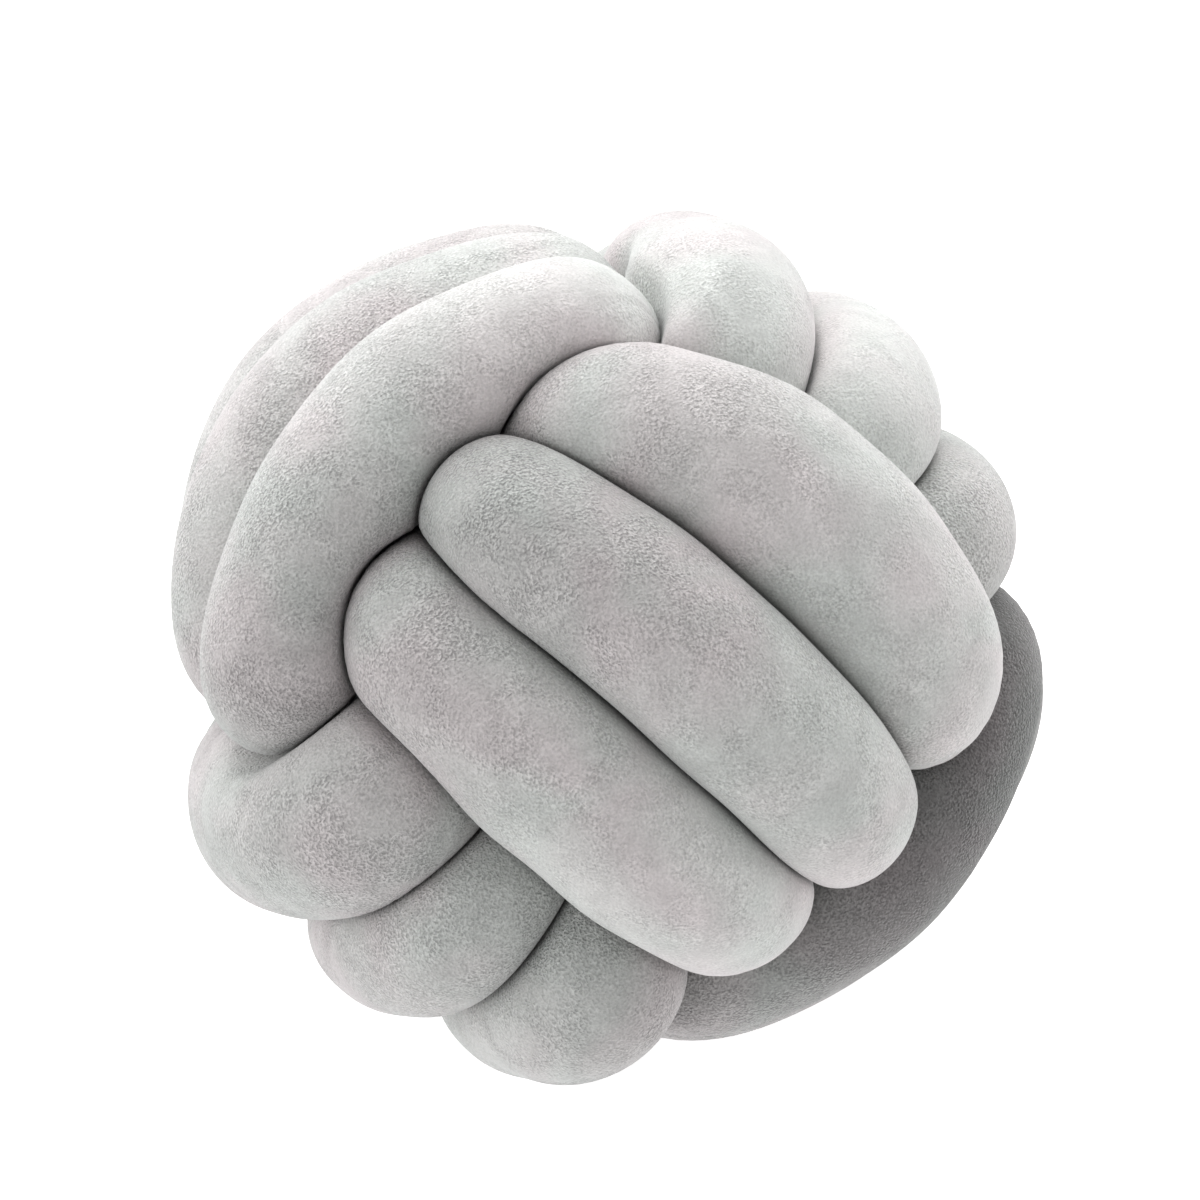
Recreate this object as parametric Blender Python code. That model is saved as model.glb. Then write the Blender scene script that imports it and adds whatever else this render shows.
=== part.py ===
"""Knot cushion: one long stuffed tube tied into a three-pass ball knot.

The tube's ends are joined out of sight, so it is one closed loop.  It wraps the ball in three
groups of three strands, each group at right angles to the other two.  Every group lies outside
on two opposite faces and dives under its neighbours on the next two.

Knot axes: a, b, c.  Group g has its faces along axis g, runs along the next axis and is stacked
along the one after that.  The ball stands on the corner where a, b and c are all positive.
"""
from collections import namedtuple

import bpy
import numpy as np
from mathutils import Matrix

MM = 0.001

# ---------------------------------------------------------------- driving sizes, millimetres
GIRTH = 29.0              # radius of the stuffed tube where nothing presses on it
GIRTH_BELOW = 27.0        # the same on the passes that run under a neighbour
GIRTH_CROSSING = 20.0     # the same where the tube changes over to the next group
FILL = 50.0               # how far a covered pass spreads towards the middle of the ball
REST_DROP = 125.0         # from the middle of the ball down to what it stands on
LIP = 10.0                # how softly a strand rounds off where it meets its neighbour
OWN_STRETCH = 7.0         # nearer than this along the tube nothing counts as a neighbour
PRESSED_LEAST, PRESSED_MOST = 0.3, 1.7    # how far a contact moves off halfway between two strands
SWELL_FROM, SWELL_FULL = 0.2, 0.7         # how squarely inwards a spoke points where FILL starts, is full
LEVEL = 1e-3              # a spoke flatter than this never comes down to the floor
FAR = 1e3                 # the reach of a spoke that meets nothing
YAW = 9.0                 # degrees that the knot is turned about the vertical

# ---------------------------------------------------------------- mesh
ROUTE_STEP = 6.0          # spacing of the rings that the tube's shape is worked out on
FINE_SIDES = 32           # points round such a ring
SIDE_STRIDE = 2           # every second point is kept
RINGS = 368               # rings kept, closer together where the tube turns
STRAIGHT_PER_RING = 27.0  # millimetres of straight tube that count as one ring
TURN_PER_RING = 32.0      # degrees of turning that count as one ring
BELOW_SHARE = 0.70        # what a millimetre of covered tube counts for
SPANS_PER_POINT = 16      # curve samples from one route point to the next
RELAX_ROUNDS = 80

# ---------------------------------------------------------------- the knot's passes, millimetres
FacePoint = namedtuple("FacePoint", "along middle side aside")
FACE_PASS = (             # height of the middle and of a side strand, and how far aside the latter lies
    FacePoint(along=-74, middle=92, side=80, aside=42),
    FacePoint(along=-38, middle=105, side=91, aside=48),
    FacePoint(along=0, middle=110, side=96, aside=50),
    FacePoint(along=38, middle=105, side=91, aside=48),
    FacePoint(along=74, middle=92, side=80, aside=42),
)
Clearance = namedtuple("Clearance", "distance gap")
CLEARANCES = (            # half the gap between pressed strands, by distance from the middle of the ball
    Clearance(distance=30, gap=7.0),
    Clearance(distance=88, gap=3.5),
    Clearance(distance=108, gap=3.0),
    Clearance(distance=122, gap=0.8),
)
BelowPoint = namedtuple("BelowPoint", "across depth aside moved")
BELOW_PASS = (            # moved: share of the way to the next slot
    BelowPoint(across=-58, depth=54, aside=33, moved=0.0),
    BelowPoint(across=-29, depth=60, aside=28, moved=0.1),
    BelowPoint(across=0, depth=66, aside=26, moved=0.5),
    BelowPoint(across=29, depth=60, aside=28, moved=0.9),
    BelowPoint(across=58, depth=54, aside=33, moved=1.0),
)
CrossPoint = namedtuple("CrossPoint", "face run stack turned")
CROSSING = (              # turned: share of the way to the next group's stacking axis
    CrossPoint(face=58, run=54, stack=40, turned=0.0),
    CrossPoint(face=36, run=44, stack=34, turned=0.1),
    CrossPoint(face=14, run=24, stack=24, turned=0.4),
    CrossPoint(face=-6, run=3, stack=23, turned=0.6),
    CrossPoint(face=-22, run=-18, stack=34, turned=0.9),
    CrossPoint(face=-33, run=-40, stack=51, turned=1.0),
)

# ---------------------------------------------------------------- how the soft strands really lie
# aside, lift and girth (which is added to the radius) are at the strand's low end, middle and
# high end along its own axis; reach is how much further its two ends go before they dive, and
# dive how much further out they stay as they start to.
FACES = {"left": (0, -1), "right": (0, 1), "top": (1, -1),
         "under": (1, 1), "front": (2, -1), "back": (2, 1)}
Lie = namedtuple("Lie", "face slot aside lift girth reach dive",
                 defaults=((0, 0, 0), (0, 0, 0), (0, 0, 0), (0, 0), (0, 0)))
LIES = (
    Lie("front", -1, aside=(3, -12, -2), lift=(-8, 0, 0), girth=(2, 3, 3), reach=(-8, 5)),
    Lie("front", 0, aside=(-5, -8, -2), lift=(-8, 0, 0), girth=(1, 0, 0), reach=(-8, 5)),
    Lie("front", 1, aside=(-7, -11, -5), lift=(-6, 0, 0), girth=(4, 2, 2), reach=(-10, -3)),
    Lie("left", -1, aside=(-20, -18, -18), lift=(-25, 3, -21), girth=(2, 0, 3), reach=(6, 20), dive=(0, 20)),
    Lie("left", 0, aside=(-17, -14, -10), lift=(-33, 7, -15), girth=(1, 0, 1), reach=(14, 6)),
    Lie("left", 1, aside=(-14, -20, -2), lift=(-10, 21, -13), girth=(4, 4, 4), reach=(10, 4)),
    Lie("right", -1, aside=(0, 0, 8), lift=(-2, 3, -18), girth=(1, 1, 1)),
    Lie("right", 0, aside=(0, 0, 4), lift=(0, 0, -20), girth=(1, 1, 1)),
    Lie("top", -1, aside=(7, 3, -5), lift=(3, -1, 0), girth=(5, 6, 6)),
    Lie("top", 0, aside=(12, -3, -3), lift=(0, -2, 0)),
    Lie("top", 1, aside=(9, -7, -3), lift=(0, -2, 0)),
    Lie("under", -1, aside=(6, 7, -2), lift=(5, 2, 0), girth=(8, 8, 7)),
    Lie("under", 0, aside=(11, 4, 0), girth=(-1, -1, -1)),
    Lie("under", 1, aside=(13, -3, 0), lift=(3, 3, 0)),
    Lie("back", -1, aside=(-3, 0, 0), girth=(1, 1, 1), reach=(8, 0)),
    Lie("back", 0, reach=(12, 0)),
    Lie("back", 1, aside=(3, 0, 0), girth=(1, 1, 1), reach=(10, 0)),
)
END_SHARES = np.array((1.0, 0.4, 0.0, 0.0, 0.0))      # how far a strand's end is felt along the pass below

AXES = np.eye(3)
DOWN = np.ones(3) / np.sqrt(3.0)          # in knot axes
RoutePoint = namedtuple("RoutePoint", "place stack radius covered")


def smooth_step(value, low, high):
    t = np.clip((value - low) / (high - low), 0, 1)
    return t * t * (3 - 2 * t)


def unit(vectors):
    return vectors / np.linalg.norm(vectors, axis=-1, keepdims=True)


def group_axes(group):
    """Face, run and stack axis of a group of strands."""
    return AXES[group % 3], AXES[(group + 1) % 3], AXES[(group + 2) % 3]


def spread(low, middle, high):
    """Three values of a strand brought to its five route points."""
    return np.array((low, (low + 2 * middle) / 3, middle, (high + 2 * middle) / 3, high))


def lie_of(group, sign, slot):
    return next((lie for lie in LIES if FACES[lie.face] == (group, sign) and lie.slot == slot), Lie("", 0))


def face_pass(group, sign, slot):
    """Route points of one strand across the outside of a face."""
    face, run, stack = group_axes(group)
    lie = lie_of(group, sign, slot)
    height = np.array([p.side if slot else p.middle for p in FACE_PASS]) + spread(*lie.lift)
    aside = slot * np.array([p.aside for p in FACE_PASS]) + spread(*lie.aside)
    longer = np.array((-lie.reach[0], -lie.reach[0] / 2, 0, lie.reach[1] / 2, lie.reach[1]))
    along = np.array([p.along for p in FACE_PASS]) + longer
    points = [RoutePoint(sign * h * face + u * run + s * stack, stack, radius, 0.0)
              for h, u, s, radius in zip(height, along, aside, GIRTH + spread(*lie.girth))]
    return points[::sign]


def below_pass(group, side, slot, next_slot):
    """Route points of one strand under the neighbouring group, from one face to the other."""
    face, run, stack = group_axes(group)
    end = 0 if side < 0 else -1
    before, after = lie_of(group, side, slot), lie_of(group, -side, next_slot)
    slots = slot + (next_slot - slot) * np.array([p.moved for p in BELOW_PASS])

    def felt(first, last):
        return first[end] * END_SHARES + last[end] * END_SHARES[::-1]

    depth = [p.depth for p in BELOW_PASS] + felt(before.dive, after.dive)
    aside = slots * [p.aside for p in BELOW_PASS] + felt(before.aside, after.aside)
    radii = GIRTH_BELOW + felt(before.girth, after.girth)
    return [RoutePoint(side * (d * run - p.across * face) + a * stack, stack, radius, 1.0)
            for p, d, a, radius in zip(BELOW_PASS, depth, aside, radii)]


def crossing(group):
    """Route points inside the ball, from a group's last strand to the next group's first."""
    face, run, stack = group_axes(group)
    next_stack = group_axes(group + 1)[2]
    return [RoutePoint(p.face * face + p.run * run + p.stack * stack,
                       (1 - p.turned) * stack + p.turned * next_stack, GIRTH_CROSSING, 1.0)
            for p in CROSSING]


def knot_points():
    """All route points of the closed tube in order."""
    points = []
    for group in range(3):
        for slot in (-1, 0, 1):
            points += face_pass(group, -1, slot)
            points += below_pass(group, -1, slot, slot)
            points += face_pass(group, 1, slot)
            points += below_pass(group, 1, slot, slot + 1) if slot < 1 else crossing(group)
    return points


def smooth_loop(values):
    """Closed cubic B-spline along a list of values."""
    v = np.array(values, float)
    t = np.arange(SPANS_PER_POINT) / SPANS_PER_POINT
    weights = np.stack([(1 - t) ** 3, 3 * t ** 3 - 6 * t ** 2 + 4,
                        -3 * t ** 3 + 3 * t ** 2 + 3 * t + 1, t ** 3], 1) / 6
    corners = np.stack([np.roll(v, 1, 0), v, np.roll(v, -1, 0), np.roll(v, -2, 0)], 1)
    return np.einsum("ij,nj...->ni...", weights, corners).reshape(-1, *v.shape[1:])


class Route:
    """The tube's middle line at even spacing, with its frame and radius."""

    def __init__(self, step):
        points = knot_points()
        columns = np.column_stack([smooth_loop([p.place for p in points]),
                                   smooth_loop([p.stack for p in points]),
                                   smooth_loop([p.radius for p in points]),
                                   smooth_loop([p.covered for p in points])])
        columns = np.vstack([columns, columns[:1]])
        steps = np.linalg.norm(np.diff(columns[:, :3], axis=0), axis=1)
        travelled = np.concatenate([[0.0], np.cumsum(steps)])
        count = int(round(travelled[-1] / step))
        stops = travelled[-1] * np.arange(count) / count
        even = np.column_stack([np.interp(stops, travelled, column) for column in columns.T])
        self.length = travelled[-1]
        self.step = travelled[-1] / count
        self.place = even[:, :3]
        self.radius = even[:, 6]
        self.covered = even[:, 7]
        self.tangent = unit(np.roll(self.place, -1, 0) - np.roll(self.place, 1, 0))
        stack = even[:, 3:6]
        self.aside = unit(stack - (stack * self.tangent).sum(1, keepdims=True) * self.tangent)
        self.outward = np.cross(self.tangent, self.aside)

    def spokes(self, angles):
        """Unit directions from the middle line, one for each ring and angle."""
        return (self.outward[:, None] * np.cos(angles)[None, :, None]
                + self.aside[:, None] * np.sin(angles)[None, :, None])


def touching_distance(route, angles, chunk=64):
    """How far each spoke goes before it meets another stretch of the tube.

    Two stretches of radius u and v press flat on the plane where distance² - radius² is equal.
    """
    places, radii = route.place, route.radius
    reach = np.empty((len(places), len(angles)))
    for start in range(0, len(places), chunk):
        rings = slice(start, start + chunk)
        offset = places[None] - places[rings, None]
        square = (offset ** 2).sum(2)
        pressed = np.clip(square + radii[rings, None] ** 2 - radii[None] ** 2,
                          PRESSED_LEAST * square, PRESSED_MOST * square)
        facing = (np.einsum("ijk,ik->ij", offset, route.outward[rings])[:, :, None] * np.cos(angles)
                  + np.einsum("ijk,ik->ij", offset, route.aside[rings])[:, :, None] * np.sin(angles))
        meets = (facing > LEVEL) & (square > OWN_STRETCH ** 2)[:, :, None]
        distance = np.where(meets, pressed[:, :, None] / (2 * np.maximum(facing, LEVEL)), FAR)
        reach[rings] = distance.min(1)
    return reach


def relaxed(free, limit, route, sides):
    """The stuffed tube's radius: as near to its free radius as a stretched skin inside the limits."""
    radius = np.minimum(free, limit)
    along = (LIP / route.step) ** 2
    round_ = (LIP / (2 * np.pi * GIRTH / sides)) ** 2
    for _ in range(RELAX_ROUNDS):
        pull = (along * (np.roll(radius, 1, 0) + np.roll(radius, -1, 0))
                + round_ * (np.roll(radius, 1, 1) + np.roll(radius, -1, 1)))
        radius = np.minimum(limit, (free + pull) / (1 + 2 * along + 2 * round_))
    return radius


def tube_rings(route, sides):
    """Points of the pressed tube, ring by ring, in knot axes and millimetres."""
    angles = 2 * np.pi * np.arange(sides) / sides
    spokes = route.spokes(angles)
    limit = touching_distance(route, angles)
    depth = np.linalg.norm(route.place[:, None] + limit[..., None] * spokes, axis=2)
    gap = np.interp(depth, [c.distance for c in CLEARANCES], [c.gap for c in CLEARANCES])
    limit -= np.minimum(gap, limit / 2)
    downward = spokes @ DOWN
    to_floor = (REST_DROP - route.place @ DOWN)[:, None] / np.maximum(downward, LEVEL)
    limit = np.where(downward > LEVEL, np.minimum(limit, to_floor), limit)
    inward = -(spokes * unit(route.place)[:, None]).sum(2)
    swell = smooth_step(inward, SWELL_FROM, SWELL_FULL) * route.covered[:, None]
    free = route.radius[:, None] * (1 - swell) + FILL * swell
    radius = relaxed(free, limit, route, sides)
    return route.place[:, None] + radius[..., None] * spokes


def kept_rings(route):
    """Numbers of the rings that go into the mesh: closer where the tube turns."""
    cosine = (route.tangent * np.roll(route.tangent, -1, 0)).sum(1)
    turn = np.degrees(np.arccos(np.clip(cosine, -1, 1)))
    share = 1 - (1 - BELOW_SHARE) * route.covered
    weight = share * (route.step / STRAIGHT_PER_RING + turn / TURN_PER_RING)
    total = np.cumsum(weight)
    targets = total[-1] * (np.arange(RINGS) + 0.5) / RINGS
    return np.unique(np.searchsorted(total, targets))


def standing(points):
    """Knot axes to the object's own frame: metres, standing at z = 0, box centred on the origin."""
    up = -DOWN
    front = -AXES[2]
    front = unit(front - (front @ up) * up)
    level = np.stack([np.cross(up, front), -front, up])
    turn = np.array(Matrix.Rotation(np.radians(YAW), 3, "Z")) @ level
    placed = points @ turn.T * MM
    flat = placed.reshape(-1, 3)
    middle = (flat.min(0) + flat.max(0)) / 2
    return placed - (middle[0], middle[1], -REST_DROP * MM)


def loop_faces(points):
    """Two triangles for each cell of a closed tube, split along the shorter diagonal."""
    rings, sides = points.shape[:2]
    faces = []
    for i in range(rings):
        for j in range(sides):
            near, far = i * sides, (i + 1) % rings * sides
            a, b = near + j, far + j
            c, d = far + (j + 1) % sides, near + (j + 1) % sides
            flat = points.reshape(-1, 3)
            if np.linalg.norm(flat[a] - flat[c]) <= np.linalg.norm(flat[b] - flat[d]):
                faces += [(a, b, c), (a, c, d)]
            else:
                faces += [(a, b, d), (b, c, d)]
    return faces


def plush():
    """Pale grey short-pile velvet."""
    material = bpy.data.materials.new("plush")
    material.use_nodes = True
    shader = material.node_tree.nodes["Principled BSDF"]
    shader.inputs["Base Color"].default_value = (0.50, 0.50, 0.50, 1.0)
    shader.inputs["Roughness"].default_value = 0.95
    shader.inputs["Metallic"].default_value = 0.0
    material.diffuse_color = (0.50, 0.50, 0.50, 1.0)
    return material


def knot_tube():
    """The whole cushion: one closed stuffed tube."""
    route = Route(ROUTE_STEP)
    points = tube_rings(route, FINE_SIDES)[kept_rings(route), ::SIDE_STRIDE]
    points = standing(points)
    mesh = bpy.data.meshes.new("knot_tube")
    mesh.from_pydata(points.reshape(-1, 3).tolist(), [], loop_faces(points))
    mesh.materials.append(plush())
    mesh.shade_smooth()
    tube = bpy.data.objects.new("knot_tube", mesh)
    bpy.context.scene.collection.objects.link(tube)
    return tube


for old in list(bpy.data.objects):
    bpy.data.objects.remove(old)
knot_tube()
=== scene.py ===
"""Looks of the knot cushion: one long stuffed plush tube tied into a ball knot.

The tube is worked out from the same route and tables as the solid it replaces, with many more
points and with the strands pressed right against each other.  Dents, gathers and the swell of
the stuffing are added in their own sizes.

Knot axes: a, b, c.  Group g has its faces along axis g, runs along the next axis and is stacked
along the one after that.  The ball stands on the corner where a, b and c are all positive.
"""
from collections import namedtuple

import bpy
import numpy as np
from mathutils import Matrix, Vector
from mathutils.bvhtree import BVHTree


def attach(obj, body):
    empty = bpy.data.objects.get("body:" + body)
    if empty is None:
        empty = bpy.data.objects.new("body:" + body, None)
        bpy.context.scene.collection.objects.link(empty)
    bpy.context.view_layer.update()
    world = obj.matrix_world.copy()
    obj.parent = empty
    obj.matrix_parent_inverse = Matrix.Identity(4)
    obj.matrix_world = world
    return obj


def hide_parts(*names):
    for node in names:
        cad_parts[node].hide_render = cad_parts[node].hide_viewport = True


MM = 0.001

# ---------------------------------------------------------------- driving sizes, millimetres
GIRTH = 28.2              # radius of the stuffed tube where nothing presses on it
GIRTH_BELOW = 27.0        # the same on the passes that run under a neighbour
GIRTH_CROSSING = 20.0     # the same where the tube changes over to the next group
FILL = 50.0               # how far a covered pass spreads towards the middle of the ball
REST_DROP = 125.0         # from the middle of the ball down to what it stands on
LIP = 6.5                 # how softly a strand rounds off where it meets its neighbour
OWN_STRETCH = 7.0         # middle line nearer than this is the strand's own, not a neighbour's
PRESSED_LEAST, PRESSED_MOST = 0.3, 1.7    # how far a contact moves off halfway between two strands
FILL_FROM, FILL_FULL = 0.2, 0.7           # how squarely inwards a spoke points where FILL starts, is full
LEVEL = 1e-3              # a spoke flatter than this never meets another strand or the floor
FAR = 1e3                 # the reach of a spoke that meets nothing
YAW = 9.0                 # degrees that the knot is turned about the vertical
BALL_MIDDLE = (-0.8, -2.7)                # where the solid's own box puts the middle of the ball

# ---------------------------------------------------------------- mesh
LINE_STEP = 3.0           # spacing of the points of the middle line that strands are pressed against
RINGS = 1360              # rings of the tube's skin
SIDES = 72                # points round a ring
COVERED_SHARE = 0.26      # what a millimetre of covered tube counts for
COVERED_FROM, COVERED_FULL = 0.45, 0.95   # how covered the tube is where that starts, is reached
TURN_WEIGHT = 18.0        # millimetres of straight tube that one radian of turning counts for
INNER_SHARE = 0.35        # what a degree of the side that faces inwards counts for
INNER_FROM, INNER_FULL = 118.0, 138.0     # degrees from outwards where that starts, is reached
ANGLE_SAMPLES = 1441      # a quarter of a degree apart
SPANS_PER_POINT = 16      # curve samples from one route point to the next
RELAX_ROUNDS = 420        # steps in which the stretched skin comes to rest

# ---------------------------------------------------------------- the knot's passes, millimetres
FacePoint = namedtuple("FacePoint", "along middle side aside")
FACE_PASS = (             # height of the middle and of a side strand, and how far aside the latter lies
    FacePoint(along=-74, middle=92, side=80, aside=42),
    FacePoint(along=-38, middle=105, side=91, aside=48),
    FacePoint(along=0, middle=110, side=96, aside=50),
    FacePoint(along=38, middle=105, side=91, aside=48),
    FacePoint(along=74, middle=92, side=80, aside=42),
)
Clearance = namedtuple("Clearance", "distance gap")
CLEARANCES = (            # half the gap between pressed strands, by distance from the middle of the ball
    Clearance(distance=30, gap=1.5),
    Clearance(distance=122, gap=0.25),
)
BelowPoint = namedtuple("BelowPoint", "across depth aside moved")
BELOW_PASS = (            # moved: share of the way to the next slot
    BelowPoint(across=-58, depth=54, aside=33, moved=0.0),
    BelowPoint(across=-29, depth=60, aside=28, moved=0.1),
    BelowPoint(across=0, depth=66, aside=26, moved=0.5),
    BelowPoint(across=29, depth=60, aside=28, moved=0.9),
    BelowPoint(across=58, depth=54, aside=33, moved=1.0),
)
CrossPoint = namedtuple("CrossPoint", "face run stack turned")
CROSSING = (              # turned: share of the way to the next group's stacking axis
    CrossPoint(face=58, run=54, stack=40, turned=0.0),
    CrossPoint(face=36, run=44, stack=34, turned=0.1),
    CrossPoint(face=14, run=24, stack=24, turned=0.4),
    CrossPoint(face=-6, run=3, stack=23, turned=0.6),
    CrossPoint(face=-22, run=-18, stack=34, turned=0.9),
    CrossPoint(face=-33, run=-40, stack=51, turned=1.0),
)

# ---------------------------------------------------------------- how the soft strands really lie
# aside, lift and girth (which is added to the radius) are at the strand's low end, middle and
# high end along its own axis; reach is how much further its two ends go before they dive, and
# dive how much further out they stay as they start to.
FACES = {"left": (0, -1), "right": (0, 1), "top": (1, -1),
         "under": (1, 1), "front": (2, -1), "back": (2, 1)}
Lie = namedtuple("Lie", "face slot aside lift girth reach dive",
                 defaults=((0, 0, 0), (0, 0, 0), (0, 0, 0), (0, 0), (0, 0)))
LIES = (
    Lie("front", -1, aside=(3, -12, -2), lift=(-8, 0, 0), girth=(2, 3, 3), reach=(-8, 5)),
    Lie("front", 0, aside=(-5, -8, -2), lift=(-8, 0, 0), girth=(1, 0, 0), reach=(-8, 5)),
    Lie("front", 1, aside=(-7, -11, -5), lift=(-6, 0, 0), girth=(4, 2, 2), reach=(-10, -3)),
    Lie("left", -1, aside=(-20, -18, -18), lift=(-25, 3, -21), girth=(2, 0, 3), reach=(6, 20), dive=(0, 20)),
    Lie("left", 0, aside=(-17, -14, -10), lift=(-33, 7, -15), girth=(1, 0, 1), reach=(14, 6)),
    Lie("left", 1, aside=(-14, -20, -2), lift=(-10, 21, -13), girth=(4, 4, 4), reach=(10, 4)),
    Lie("right", -1, aside=(0, 0, 8), lift=(-2, 3, -18), girth=(1, 1, 1)),
    Lie("right", 0, aside=(0, 0, 4), lift=(0, 0, -20), girth=(1, 1, 1)),
    Lie("top", -1, aside=(7, 3, -5), lift=(3, -1, 0), girth=(5, 6, 6)),
    Lie("top", 0, aside=(12, -3, -3), lift=(0, -2, 0)),
    Lie("top", 1, aside=(9, -7, -3), lift=(0, -2, 0)),
    Lie("under", -1, aside=(6, 7, -2), lift=(5, 2, 0), girth=(8, 8, 7)),
    Lie("under", 0, aside=(11, 4, 0), girth=(-1, -1, -1)),
    Lie("under", 1, aside=(13, -3, 0), lift=(3, 3, 0)),
    Lie("back", -1, aside=(-3, 0, 0), girth=(1, 1, 1), reach=(8, 0)),
    Lie("back", 0, reach=(12, 0)),
    Lie("back", 1, aside=(3, 0, 0), girth=(1, 1, 1), reach=(10, 0)),
)
END_SHARES = np.array((1.0, 0.4, 0.0, 0.0, 0.0))      # how far a strand's end is felt along the pass below

# ---------------------------------------------------------------- how light each strand is
# Share of the plain colour at a strand's low end, middle and high end.  Part of it is pile
# brushed lighter or darker.  The rest is shade in the photo that the lamps here don't make,
# most of all on right -1, so it stays on the strand from every side.  The ends of the strands
# that the photo shows started from a least-squares fit to its light and shade, together with
# the lamps and walls, and were then changed.  The back's values are guesses.
# Tones below one are partly painted shade and tones above one partly painted light, on top of the brushed
# pile.
NAP_AND_SHADING_REACH = 75.0          # from the middle of a strand to the ends that the table speaks of
NapAndPaintedShading = namedtuple("NapAndPaintedShading", "face slot low middle high")
NAP_AND_PAINTED_SHADING = (
    NapAndPaintedShading("front", -1, 0.97, 1.10, 1.20),
    NapAndPaintedShading("front", 0, 0.74, 0.98, 1.20),
    NapAndPaintedShading("front", 1, 0.78, 1.06, 1.27),
    NapAndPaintedShading("left", -1, 1.26, 0.97, 0.82),
    NapAndPaintedShading("left", 0, 1.12, 0.96, 0.88),
    NapAndPaintedShading("left", 1, 1.06, 0.97, 0.91),
    NapAndPaintedShading("right", -1, 0.35, 0.36, 0.80),
    NapAndPaintedShading("right", 0, 0.60, 0.66, 0.74),
    NapAndPaintedShading("right", 1, 0.70, 0.76, 0.84),
    NapAndPaintedShading("top", -1, 1.20, 1.05, 1.02),
    NapAndPaintedShading("top", 0, 1.26, 1.10, 1.05),
    NapAndPaintedShading("top", 1, 1.02, 1.02, 1.02),
    NapAndPaintedShading("under", -1, 0.93, 0.91, 0.89),
    NapAndPaintedShading("under", 0, 0.96, 0.94, 0.92),
    NapAndPaintedShading("under", 1, 0.92, 0.92, 0.94),
    NapAndPaintedShading("back", -1, 0.94, 1.00, 1.04),
    NapAndPaintedShading("back", 0, 0.96, 1.02, 1.06),
    NapAndPaintedShading("back", 1, 0.90, 0.96, 1.02),
)

# ---------------------------------------------------------------- folds, dents and stuffing
# Start and end are places on a strand: millimetres from its middle towards its high end, and
# millimetres round it from outwards towards the next slot.  Width is half of what the fold
# spans, and a depth below zero makes a ridge.
Fold = namedtuple("Fold", "face slot start end depth width")
FOLDS = (
    Fold("top", -1, (-38, -38), (-58, -43), depth=-1.3, width=4.0),
    Fold("top", -1, (-20, -44), (-48, -49), depth=0.9, width=3.5),
    Fold("top", -1, (-52, -29), (-68, -26), depth=1.4, width=6.0),
    Fold("top", -1, (-64, -15), (-76, -3), depth=0.8, width=8.0),
    Fold("left", -1, (-66, -34), (-84, -26), depth=0.7, width=2.4),
    Fold("left", -1, (-70, -24), (-88, -18), depth=0.6, width=2.4),
    Fold("left", -1, (-57, -27), (-64, -29), depth=0.5, width=2.2),
    Fold("left", 0, (-60, -24), (-84, -12), depth=0.9, width=2.4),
    Fold("left", 0, (-62, -12), (-86, -4), depth=0.9, width=2.4),
    Fold("left", 0, (-64, 1), (-86, 4), depth=0.8, width=2.4),
    Fold("left", 1, (-60, -22), (-82, -10), depth=0.8, width=2.6),
    Fold("left", 1, (-62, -6), (-84, 0), depth=0.8, width=2.6),
    Fold("left", 0, (18, -10), (36, -22), depth=0.8, width=6.0),
    Fold("front", -1, (-60, -4), (-48, -13), depth=0.5, width=4.0),
    Fold("front", 0, (-44, 4), (-22, -18), depth=0.6, width=8.0),
    Fold("under", -1, (-70, -30), (-56, -18), depth=0.7, width=6.0),
    Fold("under", 0, (-70, -16), (-58, -6), depth=0.6, width=7.0),
    Fold("back", -1, (-50, -10), (-66, -20), depth=0.9, width=5.0),
    Fold("back", 0, (52, 8), (72, 20), depth=0.9, width=4.0),
    Fold("right", 0, (-30, 12), (-6, 18), depth=0.7, width=6.0),
)
Swell = namedtuple("Swell", "along around height start")
SWELLS = (                # waves along the whole tube and round it, height in mm, start in radians
    Swell(along=83, around=2, height=0.20, start=4.0),
    Swell(along=113, around=1, height=0.20, start=0.4),
    Swell(along=157, around=-2, height=0.15, start=2.1),
)

AXES = np.eye(3)
DOWN = np.ones(3) / np.sqrt(3.0)          # in knot axes
RoutePoint = namedtuple("RoutePoint", "place stack radius covered")
MIDDLE_OF_PASS = 2        # the third of a pass's five route points lies in the middle of the face


def smooth_step(value, low, high):
    t = np.clip((value - low) / (high - low), 0, 1)
    return t * t * (3 - 2 * t)


def unit(vectors):
    return vectors / np.linalg.norm(vectors, axis=-1, keepdims=True)


# ================================================================ the route of the tube
def group_axes(group):
    """Face, run and stack axis of a group of strands."""
    return AXES[group % 3], AXES[(group + 1) % 3], AXES[(group + 2) % 3]


def spread(low, middle, high):
    """Three values of a strand brought to its five route points."""
    return np.array((low, (low + 2 * middle) / 3, middle, (high + 2 * middle) / 3, high))


def lie_of(group, sign, slot):
    return next((lie for lie in LIES if FACES[lie.face] == (group, sign) and lie.slot == slot), Lie("", 0))


def face_pass(group, sign, slot):
    """Route points of one strand across the outside of a face."""
    face, run, stack = group_axes(group)
    lie = lie_of(group, sign, slot)
    height = np.array([p.side if slot else p.middle for p in FACE_PASS]) + spread(*lie.lift)
    aside = slot * np.array([p.aside for p in FACE_PASS]) + spread(*lie.aside)
    longer = np.array((-lie.reach[0], -lie.reach[0] / 2, 0, lie.reach[1] / 2, lie.reach[1]))
    along = np.array([p.along for p in FACE_PASS]) + longer
    points = [RoutePoint(sign * h * face + u * run + s * stack, stack, radius, 0.0)
              for h, u, s, radius in zip(height, along, aside, GIRTH + spread(*lie.girth))]
    return points[::sign]


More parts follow.
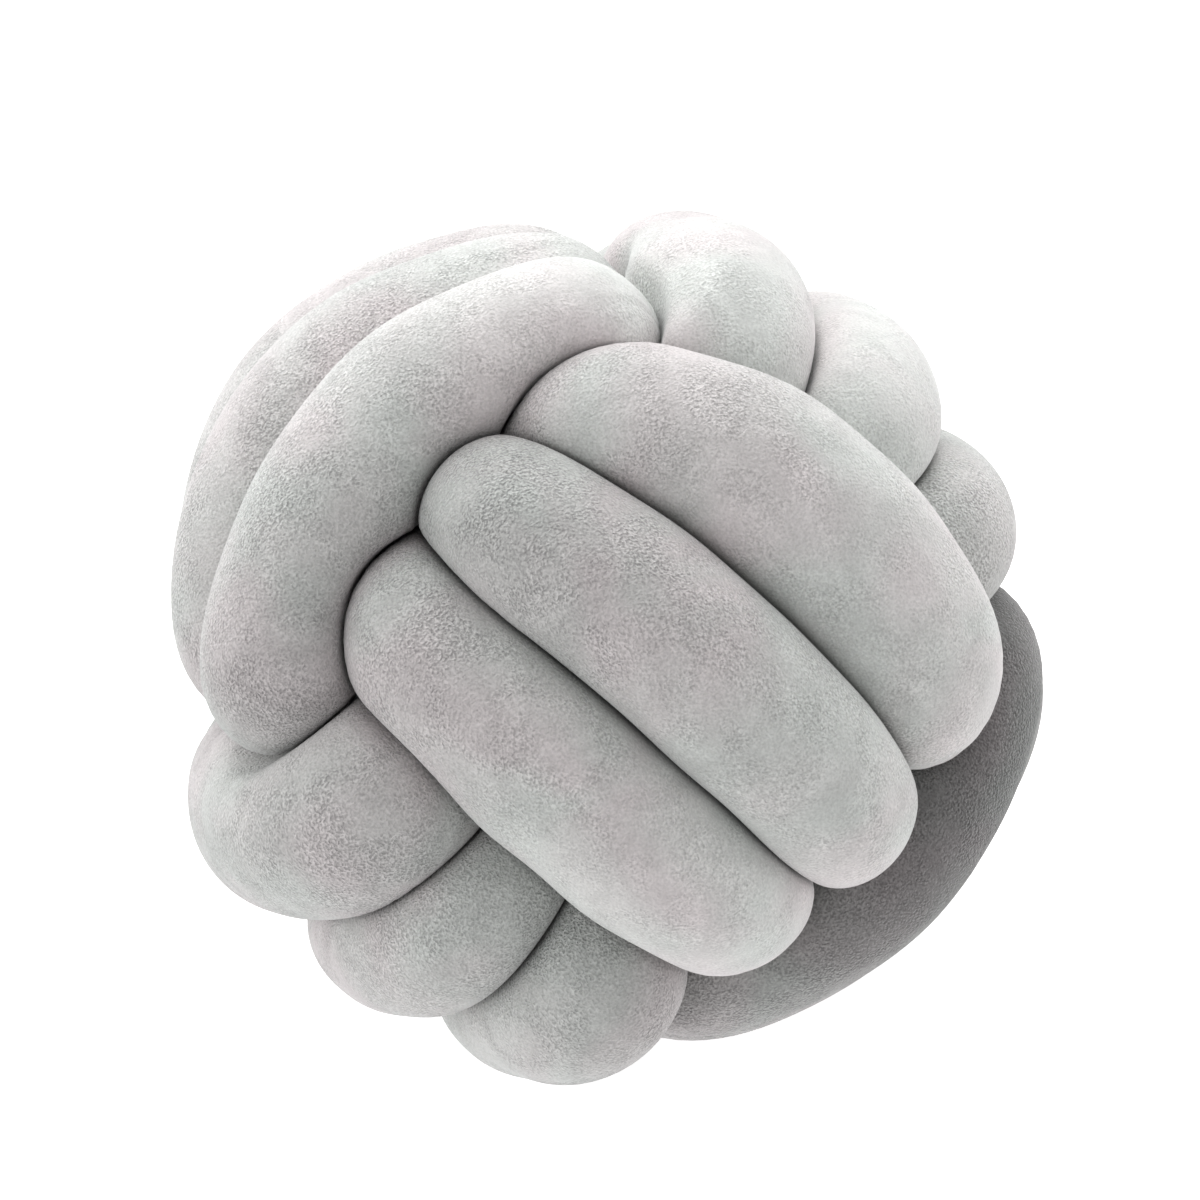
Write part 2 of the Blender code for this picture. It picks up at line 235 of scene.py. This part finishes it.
def below_pass(group, side, slot, next_slot):
    """Route points of one strand under the neighbouring group, from one face to the other."""
    face, run, stack = group_axes(group)
    end = 0 if side < 0 else -1
    before, after = lie_of(group, side, slot), lie_of(group, -side, next_slot)
    slots = slot + (next_slot - slot) * np.array([p.moved for p in BELOW_PASS])

    def felt(first, last):
        return first[end] * END_SHARES + last[end] * END_SHARES[::-1]

    depth = [p.depth for p in BELOW_PASS] + felt(before.dive, after.dive)
    aside = slots * [p.aside for p in BELOW_PASS] + felt(before.aside, after.aside)
    radii = GIRTH_BELOW + felt(before.girth, after.girth)
    return [RoutePoint(side * (d * run - p.across * face) + a * stack, stack, radius, 1.0)
            for p, d, a, radius in zip(BELOW_PASS, depth, aside, radii)]


def crossing(group):
    """Route points inside the ball, from a group's last strand to the next group's first."""
    face, run, stack = group_axes(group)
    next_stack = group_axes(group + 1)[2]
    return [RoutePoint(p.face * face + p.run * run + p.stack * stack,
                       (1 - p.turned) * stack + p.turned * next_stack, GIRTH_CROSSING, 1.0)
            for p in CROSSING]


def knot_points():
    """All route points of the closed tube in order, and where each strand's pass starts among them."""
    points, starts = [], {}
    for group in range(3):
        for slot in (-1, 0, 1):
            starts[group, -1, slot] = len(points)
            points += face_pass(group, -1, slot)
            points += below_pass(group, -1, slot, slot)
            starts[group, 1, slot] = len(points)
            points += face_pass(group, 1, slot)
            points += below_pass(group, 1, slot, slot + 1) if slot < 1 else crossing(group)
    return points, starts


def smooth_loop(values):
    """Closed cubic B-spline along a list of values."""
    v = np.array(values, float)
    t = np.arange(SPANS_PER_POINT) / SPANS_PER_POINT
    weights = np.stack([(1 - t) ** 3, 3 * t ** 3 - 6 * t ** 2 + 4,
                        -3 * t ** 3 + 3 * t ** 2 + 3 * t + 1, t ** 3], 1) / 6
    corners = np.stack([np.roll(v, 1, 0), v, np.roll(v, -1, 0), np.roll(v, -2, 0)], 1)
    return np.einsum("ij,nj...->ni...", weights, corners).reshape(-1, *v.shape[1:])


class Line:
    """The tube's closed middle line, to be read at any distance along it."""

    def __init__(self):
        points, self.starts = knot_points()
        columns = np.column_stack([smooth_loop([p.place for p in points]),
                                   smooth_loop([p.stack for p in points]),
                                   smooth_loop([p.radius for p in points]),
                                   smooth_loop([p.covered for p in points])])
        self.columns = np.vstack([columns, columns[:1]])
        steps = np.linalg.norm(np.diff(self.columns[:, :3], axis=0), axis=1)
        self.travelled = np.concatenate([[0.0], np.cumsum(steps)])
        self.length = self.travelled[-1]

    def at(self, stops):
        return np.column_stack([np.interp(stops, self.travelled, column) for column in self.columns.T])

    def middle_of(self, face, slot):
        """Distance along the line of the middle of a strand, and +1 or -1 for the way it runs there."""
        group, sign = FACES[face]
        return self.travelled[(self.starts[group, sign, slot] + MIDDLE_OF_PASS) * SPANS_PER_POINT], sign


class Rings:
    """Rings round the line at given stops, with their frames and radii."""

    def __init__(self, line, stops):
        values = line.at(stops)
        self.stops = stops
        self.place = values[:, :3]
        self.radius = values[:, 6]
        self.covered = values[:, 7]
        self.ahead = (np.roll(stops, -1) - stops) % line.length
        self.behind = np.roll(self.ahead, 1)
        forward = (np.roll(self.place, -1, 0) - self.place) / self.ahead[:, None]
        backward = (self.place - np.roll(self.place, 1, 0)) / self.behind[:, None]
        self.tangent = unit(forward * self.behind[:, None] + backward * self.ahead[:, None])
        stack = values[:, 3:6]
        self.aside = unit(stack - (stack * self.tangent).sum(1, keepdims=True) * self.tangent)
        self.outward = np.cross(self.tangent, self.aside)

    def spokes(self, angles):
        """Unit directions from the middle line, one for each ring and angle."""
        return (self.outward[:, None] * np.cos(angles)[None, :, None]
                + self.aside[:, None] * np.sin(angles)[None, :, None])


def even_stops(line, step):
    count = int(round(line.length / step))
    return line.length * np.arange(count) / count


def close_stops(line, fine):
    """Ring stops, closer together where the tube shows and where it turns."""
    turn = np.arccos(np.clip((fine.tangent * np.roll(fine.tangent, -1, 0)).sum(1), -1, 1))
    share = 1 - (1 - COVERED_SHARE) * smooth_step(fine.covered, COVERED_FROM, COVERED_FULL)
    total = np.concatenate([[0.0], np.cumsum(share * (fine.ahead + TURN_WEIGHT * turn))])
    targets = total[-1] * (np.arange(RINGS) + 0.5) / RINGS
    return np.interp(targets, total, np.append(fine.stops, line.length))


def close_angles():
    """Angles round a ring from outwards, closer together on the side that shows."""
    fine = np.linspace(-180, 180, ANGLE_SAMPLES)
    share = 1 - (1 - INNER_SHARE) * smooth_step(np.abs(fine), INNER_FROM, INNER_FULL)
    total = np.concatenate([[0.0], np.cumsum((share[1:] + share[:-1]) / 2)])
    return np.radians(np.interp(total[-1] * np.arange(SIDES) / SIDES, total, fine))


# ================================================================ the pressed skin
def touching_distance(rings, others, angles, chunk=48):
    """How far each spoke goes before it meets another stretch of the tube.

    Two stretches of radius u and v press flat on the plane where distance² - radius² is equal.
    """
    reach = np.empty((len(rings.place), len(angles)))
    for start in range(0, len(reach), chunk):
        part = slice(start, start + chunk)
        offset = others.place[None] - rings.place[part, None]
        square = (offset ** 2).sum(2)
        pressed = np.clip(square + rings.radius[part, None] ** 2 - others.radius[None] ** 2,
                          PRESSED_LEAST * square, PRESSED_MOST * square)
        facing = (np.einsum("ijk,ik->ij", offset, rings.outward[part])[:, :, None] * np.cos(angles)
                  + np.einsum("ijk,ik->ij", offset, rings.aside[part])[:, :, None] * np.sin(angles))
        meets = (facing > LEVEL) & (square > OWN_STRETCH ** 2)[:, :, None]
        distance = np.where(meets, pressed[:, :, None] / (2 * np.maximum(facing, LEVEL)), FAR)
        reach[part] = distance.min(1)
    return reach


def relaxed(free, limit, rings, angles):
    """The stuffed tube's radius: as near to its free radius as a stretched skin inside the limits."""
    ahead = 2 * LIP ** 2 / ((rings.ahead + rings.behind) * rings.ahead)[:, None]
    behind = 2 * LIP ** 2 / ((rings.ahead + rings.behind) * rings.behind)[:, None]
    after = ((np.roll(angles, -1) - angles) % (2 * np.pi)) * GIRTH
    before = np.roll(after, 1)
    clockwise = (2 * LIP ** 2 / ((after + before) * after))[None]
    counter = (2 * LIP ** 2 / ((after + before) * before))[None]
    whole = 1 + ahead + behind + clockwise + counter
    radius = np.minimum(free, limit)
    for _ in range(RELAX_ROUNDS):
        pull = (ahead * np.roll(radius, -1, 0) + behind * np.roll(radius, 1, 0)
                + clockwise * np.roll(radius, -1, 1) + counter * np.roll(radius, 1, 1))
        radius = np.minimum(limit, (free + pull) / whole)
    return radius


def skin(rings, others, angles):
    """Radius of the pressed tube on each ring and angle, and the most that it may be."""
    spokes = rings.spokes(angles)
    limit = touching_distance(rings, others, angles)
    depth = np.linalg.norm(rings.place[:, None] + limit[..., None] * spokes, axis=2)
    gap = np.interp(depth, [c.distance for c in CLEARANCES], [c.gap for c in CLEARANCES])
    limit -= np.minimum(gap, limit / 2)
    downward = spokes @ DOWN
    to_floor = (REST_DROP - rings.place @ DOWN)[:, None] / np.maximum(downward, LEVEL)
    limit = np.where(downward > LEVEL, np.minimum(limit, to_floor), limit)
    inward = -(spokes * unit(rings.place)[:, None]).sum(2)
    filled = smooth_step(inward, FILL_FROM, FILL_FULL) * rings.covered[:, None]
    free = rings.radius[:, None] * (1 - filled) + FILL * filled
    return relaxed(free, limit, rings, angles), limit


def shifted(line, rings, angles):
    """How far folds and the uneven stuffing move the skin outwards, at each ring and angle."""
    turns = 2 * np.pi * rings.stops / line.length
    moved = sum(s.height * np.sin(s.along * turns[:, None] + s.around * angles + s.start) for s in SWELLS)
    for fold in FOLDS:
        middle, way = line.middle_of(fold.face, fold.slot)
        along = way * ((rings.stops - middle + line.length / 2) % line.length - line.length / 2)
        around = ((angles + np.pi) % (2 * np.pi) - np.pi) * GIRTH
        start, end = np.array(fold.start, float), np.array(fold.end, float)
        half = np.linalg.norm(end - start) / 2
        heading = (end - start) / (2 * half)
        x, y = along[:, None] - (start + end)[0] / 2, around[None] - (start + end)[1] / 2
        ahead = (x * heading[0] + y * heading[1]) / half
        across = (y * heading[0] - x * heading[1]) / fold.width
        moved -= fold.depth * np.exp(-ahead ** 4 - across ** 2)
    return moved


def standing(points):
    """Knot axes to the part's own frame, in metres."""
    up = -DOWN
    front = -AXES[2]
    front = unit(front - (front @ up) * up)
    level = np.stack([np.cross(up, front), -front, up])
    turn = np.array(Matrix.Rotation(np.radians(YAW), 3, "Z")) @ level
    return (points @ turn.T + (*BALL_MIDDLE, REST_DROP)) * MM


def brushed_and_shaded(line, stops):
    """How light the strand is at each ring, from brushed pile and from painted light and shade."""
    known = []
    for nap_and_painted_shading in NAP_AND_PAINTED_SHADING:
        middle, way = line.middle_of(nap_and_painted_shading.face, nap_and_painted_shading.slot)
        known += [((middle + way * at) % line.length, tone)
                  for at, tone in ((-NAP_AND_SHADING_REACH, nap_and_painted_shading.low), (0, nap_and_painted_shading.middle), (NAP_AND_SHADING_REACH, nap_and_painted_shading.high))]
    places, tones = zip(*sorted(known))
    return np.interp(stops, places, tones, period=line.length)


# ================================================================ meshes
def tube_object(name, points):
    """A closed tube of four-sided faces from its points, ring by ring."""
    rings, sides = points.shape[:2]
    ring, side = np.arange(rings)[:, None], np.arange(sides)[None]
    next_ring, next_side = (ring + 1) % rings, (side + 1) % sides
    corners = np.stack(np.broadcast_arrays(ring * sides + side, next_ring * sides + side,
                                           next_ring * sides + next_side, ring * sides + next_side), -1)
    mesh = bpy.data.meshes.new(name)
    mesh.from_pydata(points.reshape(-1, 3).tolist(), [], corners.reshape(-1, 4).tolist())
    mesh.shade_smooth()
    tube = bpy.data.objects.new(name, mesh)
    bpy.context.scene.collection.objects.link(tube)
    return tube


# Painted shade in the creases: the colour is made darker where the next strand lies close outwards.
CREASE_START = 0.0001     # metres outwards from the skin where the search for the next strand starts
CREASE_FAR = 0.008        # metres where it ends
CREASE_REACH = 0.0018     # metres between two strands where the painted crease shade has faded to about a third


def crease_shade_closeness(tube, points, outwards):
    """How close the next strand is at each point, which sets the painted shade in the creases: 1 where they
    touch, 0 where it is far.
    """
    tree = BVHTree.FromPolygons(points.tolist(), [tuple(face.vertices) for face in tube.data.polygons])
    gaps = [tree.ray_cast(Vector(point + outward * CREASE_START), Vector(outward), CREASE_FAR)[3]
            for point, outward in zip(points, outwards)]
    gaps = np.array([CREASE_FAR if gap is None else gap for gap in gaps])
    return np.exp(-gaps / CREASE_REACH) * (gaps < CREASE_FAR)


# ================================================================ materials
CLUMP_SIZE, GRAIN_SIZE = 0.0008, 0.00055  # clumps of the pile and the finer grain in them, metres
CLUMP_SHARE, GRAIN_SHARE = 0.7, 0.3
PATCH_SIZE = 0.018        # patches where the clumps stand out less or more, and how much
PATCH_STRENGTH = (0.75, 1.75)
RELIEF_BY_NAP_AND_SHADING = (1.15, 0.4)                # how much they stand out where the strands' tone (brushed pile with painted light and shade) is darkest, lightest
PILE_RELIEF = 0.0006      # metres
PILE_HOLLOW_SHADE = (0.72, 1.26)                # how dark the painted shade in a hollow between clumps is, how light the painted light on their tips
STROKE_SIZE = 0.022       # patches brushed darker and lighter, and how much
STROKE_SHADE = (0.94, 1.06)
HUE_SIZE = 0.050          # drift of the hue from one grey to the other
COOL_GREY, ROSE_GREY = (0.510, 0.522, 0.507, 1), (0.545, 0.511, 0.513, 1)
CREASE_SHADE = 0.7        # painted shade: how much darker the colour is made where two strands meet
TOOTH_SIZE = 0.002        # tooth of the paper, and how much it shows
TOOTH_SHADE = (0.90, 0.92)
GLOW = 0.62               # strength of the light from under the paper
WHITE = (1.0, 1.0, 1.0, 1.0)


def new_material(name):
    material = bpy.data.materials.new(name)
    material.use_nodes = True
    return material, material.node_tree, material.node_tree.nodes["Principled BSDF"]


def node(tree, kind, inputs=None, **settings):
    """Adds a node. inputs gives values or other nodes' outputs by socket name or number."""
    made = tree.nodes.new(kind)
    for key, value in settings.items():
        setattr(made, key, value)
    for key, value in (inputs or {}).items():
        if isinstance(value, bpy.types.NodeSocket):
            tree.links.new(value, made.inputs[key])
        else:
            made.inputs[key].default_value = value
    return made


def math(tree, operation, *values):
    return node(tree, "ShaderNodeMath", dict(enumerate(values)), operation=operation).outputs[0]


def noise(tree, where, size, detail=2.0, roughness=0.5, distortion=0.0):
    """Noise whose blobs are about size metres across."""
    return node(tree, "ShaderNodeTexNoise", {"Vector": where, "Scale": 1.0 / size, "Detail": detail,
                                             "Roughness": roughness, "Distortion": distortion})


def mapped(tree, value, low, high, new_low, new_high):
    made = node(tree, "ShaderNodeMapRange", {"Value": value, "From Min": low, "From Max": high,
                                             "To Min": new_low, "To Max": new_high})
    return made.outputs["Result"]


def mix(tree, factor, first, second, blend="MIX"):
    made = node(tree, "ShaderNodeMix", data_type="RGBA", blend_type=blend)
    for socket, value in ((made.inputs["Factor"], factor), (made.inputs[6], first), (made.inputs[7], second)):
        if isinstance(value, bpy.types.NodeSocket):
            tree.links.new(value, socket)
        else:
            socket.default_value = value
    return made.outputs[2]


def plush():
    """Pale grey short-pile velvet: clumped pile, soft brushed patches and a faint drift of hue, with painted
    light and shade along the strands, in the pile's hollows and in the creases.
    """
    material, tree, shader = new_material("plush")
    place = node(tree, "ShaderNodeTexCoord").outputs["Object"]
    # the strands' tones: brushed pile with painted light and shade
    nap_and_painted_shading = node(tree, "ShaderNodeAttribute", attribute_name="nap_and_painted_shading").outputs["Fac"]
    clump = noise(tree, place, CLUMP_SIZE, detail=0.0, distortion=0.35).outputs["Fac"]
    grain = noise(tree, place, GRAIN_SIZE, detail=0.0).outputs["Fac"]
    patch = noise(tree, place, PATCH_SIZE, distortion=0.8).outputs["Fac"]
    strength = math(tree, "MULTIPLY", mapped(tree, patch, 0.38, 0.62, *PATCH_STRENGTH),
                    mapped(tree, nap_and_painted_shading, 0.9, 1.3, *RELIEF_BY_NAP_AND_SHADING))

    pile = math(tree, "ADD", math(tree, "MULTIPLY", clump, CLUMP_SHARE),
                math(tree, "MULTIPLY", grain, GRAIN_SHARE))
    pile = math(tree, "MULTIPLY", math(tree, "SUBTRACT", pile, 0.5), strength)
    bump = node(tree, "ShaderNodeBump", {"Strength": 1.0, "Distance": PILE_RELIEF, "Height": pile})
    tree.links.new(bump.outputs["Normal"], shader.inputs["Normal"])

    hue = noise(tree, place, HUE_SIZE, detail=1.0, distortion=0.8).outputs["Fac"]
    tint = mix(tree, mapped(tree, hue, 0.35, 0.65, 0.0, 1.0), COOL_GREY, ROSE_GREY)
    stroke = noise(tree, place, STROKE_SIZE, detail=1.5, distortion=1.5).outputs["Fac"]
    shade = mapped(tree, stroke, 0.36, 0.64, *STROKE_SHADE)
    # painted shade in the pile's hollows and painted light on its tips, from the same noise as the bump
    pile_hollow_shade = mapped(tree, pile, -0.3, 0.3, *PILE_HOLLOW_SHADE)
    # mask of the painted shade in the creases between strands
    painted_crease_shade_mask = node(tree, "ShaderNodeAttribute", attribute_name="painted_crease_shade_mask").outputs["Fac"]
    tone = math(tree, "MULTIPLY", math(tree, "MULTIPLY", shade, pile_hollow_shade), nap_and_painted_shading)
    # painted shade in the creases where strands meet
    tone = math(tree, "MULTIPLY", tone, math(tree, "MULTIPLY_ADD", painted_crease_shade_mask, -CREASE_SHADE, 1.0))
    grey = node(tree, "ShaderNodeCombineColor", {0: tone, 1: tone, 2: tone}).outputs[0]
    tree.links.new(mix(tree, 1.0, tint, grey, blend="MULTIPLY"), shader.inputs["Base Color"])
    shader.inputs["Roughness"].default_value = 0.92
    shader.inputs["Specular IOR Level"].default_value = 0.15
    shader.inputs["Sheen Weight"].default_value = 0.5
    shader.inputs["Sheen Roughness"].default_value = 0.45
    shader.inputs["Sheen Tint"].default_value = WHITE
    return material


def paper():
    """Pale matt sweep that the cushion stands on."""
    material, tree, shader = new_material("sweep_paper")
    place = node(tree, "ShaderNodeTexCoord").outputs["Object"]
    tooth = noise(tree, place, TOOTH_SIZE).outputs["Fac"]
    tone = mapped(tree, tooth, 0.3, 0.7, *TOOTH_SHADE)
    tree.links.new(node(tree, "ShaderNodeCombineColor", {0: tone, 1: tone, 2: tone}).outputs[0],
                   shader.inputs["Base Color"])
    shader.inputs["Roughness"].default_value = 1.0
    shader.inputs["Specular IOR Level"].default_value = 0.0
    shader.inputs["Emission Color"].default_value = WHITE
    shader.inputs["Emission Strength"].default_value = GLOW
    return material


# ================================================================ studio
CAMERA_DISTANCE = 1.2
CAMERA_ELEVATION = 38.0
SENSOR = 36.0
PHOTO_SIDE = 1200.0
FOCAL_PIXELS = 3823.0     # focal length in pixels of the picture
BALL_PIXEL = (605.0, 645.0)               # where the middle of the ball is in the picture


def aimed(back):
    """Rotation of a camera or lamp that looks along -back with no roll."""
    right = Vector((0, 0, 1)).cross(back).normalized() if abs(back.z) < 0.999 else Vector((1, 0, 0))
    return Matrix((right, back.cross(right), back)).transposed().to_euler()


def photo_camera():
    elevation = np.radians(CAMERA_ELEVATION)
    back = Vector((0, -np.cos(elevation), np.sin(elevation)))
    data = bpy.data.cameras.new("photo_camera")
    data.sensor_fit = "HORIZONTAL"
    data.sensor_width = SENSOR
    data.lens = FOCAL_PIXELS / PHOTO_SIDE * SENSOR
    data.shift_x = -(BALL_PIXEL[0] - PHOTO_SIDE / 2) / PHOTO_SIDE
    data.shift_y = (BALL_PIXEL[1] - PHOTO_SIDE / 2) / PHOTO_SIDE
    data.clip_start, data.clip_end = 0.05, 50
    camera = bpy.data.objects.new("photo_camera", data)
    camera.location = Vector((*BALL_MIDDLE, REST_DROP)) * MM + back * CAMERA_DISTANCE
    camera.rotation_euler = aimed(back)
    bpy.context.scene.collection.objects.link(camera)
    bpy.context.scene.camera = camera


# The watts and the walls' brightness are rounded results of the same fit as the strands' tones.
SOFTBOX_SIZE = (1.1, 0.9)
Softbox = namedtuple("Softbox", "name place watts")
SOFTBOXES = (
    Softbox("overhead_softbox", place=(0, 0.1, 1.4), watts=6.2),
    Softbox("high_back_softbox", place=(0, 0.9, 1.1), watts=10.7),
    Softbox("left_back_softbox", place=(-0.9, 0.8, 0.8), watts=6.4),
    Softbox("left_front_softbox", place=(-0.95, -0.95, 0.5), watts=3.1),
    Softbox("right_softbox", place=(1.35, 0, 0.5), watts=2.7),
    Softbox("low_left_softbox", place=(-1.35, -0.3, 0.1), watts=2.1),
)
# Brightness of the studio's walls and table as seen from the cushion, by side.
WALLS = (("X", 1, 1.1), ("X", -1, 1.3), ("Y", 1, 1.2), ("Y", -1, 0.5), ("Z", -1, 1.6))
SWEEP_HALF = 6.0          # half the side of the sweep, metres


def studio_air():
    """Light from all round, different from each side."""
    world = bpy.data.worlds.new("studio_air")
    world.use_nodes = True
    tree = world.node_tree
    heading = node(tree, "ShaderNodeTexCoord").outputs["Generated"]
    heading = node(tree, "ShaderNodeSeparateXYZ", {"Vector": heading})
    total = 0.0
    for axis, sign, brightness in WALLS:
        share = math(tree, "MAXIMUM", math(tree, "MULTIPLY", heading.outputs[axis], float(sign)), 0.0)
        share = math(tree, "MULTIPLY", share, share)
        total = math(tree, "MULTIPLY_ADD", share, brightness, total)
    tree.nodes["Background"].inputs["Color"].default_value = (1, 1, 1, 1)
    tree.links.new(total, tree.nodes["Background"].inputs["Strength"])
    bpy.context.scene.world = world


def studio():
    target = Vector((0, 0, REST_DROP * MM))
    for box in SOFTBOXES:
        data = bpy.data.lights.new(box.name, "AREA")
        data.shape = "RECTANGLE"
        data.size, data.size_y = SOFTBOX_SIZE
        data.energy = box.watts
        lamp = bpy.data.objects.new(box.name, data)
        lamp.location = box.place
        lamp.rotation_euler = aimed((Vector(box.place) - target).normalized())
        bpy.context.scene.collection.objects.link(lamp)
    studio_air()
    corners = [(x * SWEEP_HALF, y * SWEEP_HALF, 0) for x, y in ((-1, -1), (1, -1), (1, 1), (-1, 1))]
    mesh = bpy.data.meshes.new("sweep")
    mesh.from_pydata(corners, [], [(0, 1, 2, 3)])
    mesh.materials.append(paper())
    sweep = bpy.data.objects.new("sweep", mesh)
    sweep.visible_diffuse = sweep.visible_shadow = False      # the table glows: WALLS lights from below
    bpy.context.scene.collection.objects.link(sweep)
    view = bpy.context.scene.view_settings
    view.view_transform = "Standard"
    view.look = "None"


# ================================================================ the scene
def knot_tube():
    line = Line()
    others = Rings(line, even_stops(line, LINE_STEP))
    rings = Rings(line, close_stops(line, others))
    angles = close_angles()
    radius, limit = skin(rings, others, angles)
    radius = np.minimum(radius + shifted(line, rings, angles), limit)
    spokes = rings.spokes(angles)
    points = standing(rings.place[:, None] + radius[..., None] * spokes)
    outwards = unit(standing(rings.place[:, None] + (radius[..., None] + 1) * spokes) - points)
    tube = tube_object("plush_knot", points)
    tube.data.materials.append(plush())
    # the strands' tones with their painted light and shade, and the mask of the painted shade in the creases
    for name, values in (("nap_and_painted_shading", np.repeat(brushed_and_shaded(line, rings.stops), SIDES)),
                         ("painted_crease_shade_mask", crease_shade_closeness(tube, points.reshape(-1, 3), outwards.reshape(-1, 3)))):
        tube.data.attributes.new(name, "FLOAT", "POINT").data.foreach_set("value", values)
    return tube


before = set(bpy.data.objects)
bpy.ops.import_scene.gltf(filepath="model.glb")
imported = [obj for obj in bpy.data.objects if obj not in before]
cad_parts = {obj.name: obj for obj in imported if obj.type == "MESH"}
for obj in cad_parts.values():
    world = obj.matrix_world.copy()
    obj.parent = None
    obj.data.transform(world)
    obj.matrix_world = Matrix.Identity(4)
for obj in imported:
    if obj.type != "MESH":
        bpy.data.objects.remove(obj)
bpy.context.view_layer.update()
photo_camera()
studio()
knot = knot_tube()
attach(knot, "root")
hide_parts("knot_tube")
